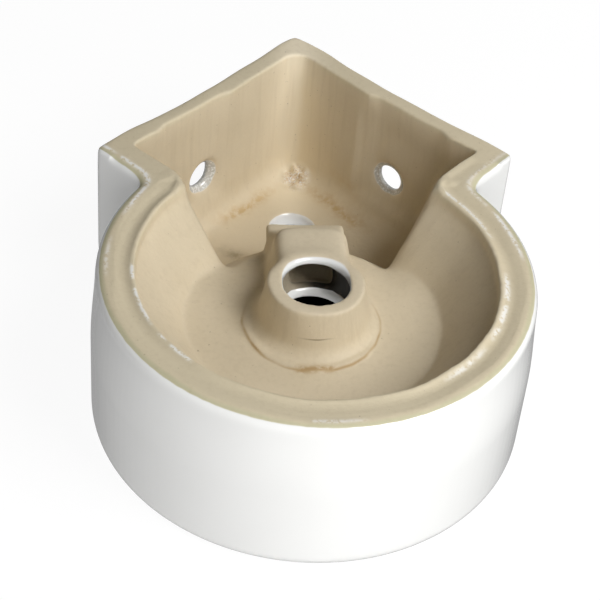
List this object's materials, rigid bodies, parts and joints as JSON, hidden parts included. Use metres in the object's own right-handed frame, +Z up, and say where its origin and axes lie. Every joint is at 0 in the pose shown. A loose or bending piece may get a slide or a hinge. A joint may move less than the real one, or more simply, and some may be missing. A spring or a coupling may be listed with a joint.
{
  "type": "corner wash basin",
  "caption": "Small wall-hung corner wash basin in vitreous china, with a round bowl, a tap hole, a hollow waste outlet with overflow and two wall fixing holes.",
  "frame": {"origin": "the room corner that the basin fits into, level with the top of its deck", "axes": "+Z up as it hangs; +Y into the corner, on the line that halves it; +X to the right when facing the corner"},
  "size_m": [0.3, 0.4187, 0.126],
  "materials": {
    "white_glaze": "gloss",
    "raw_clay": "matte"
  },
  "bodies": {
    "root": {"deck": "white_glaze", "bowl": "white_glaze", "front_apron": "white_glaze", "foot_rim": "raw_clay", "inner_lining": "raw_clay", "left_end_wall": "raw_clay", "right_end_wall": "raw_clay", "left_web": "raw_clay", "right_web": "raw_clay", "left_back_wall": "raw_clay", "right_back_wall": "raw_clay", "waste_outlet": "raw_clay", "overflow_duct": "raw_clay", "overflow_riser": "raw_clay"}
  },
  "joints": []
}
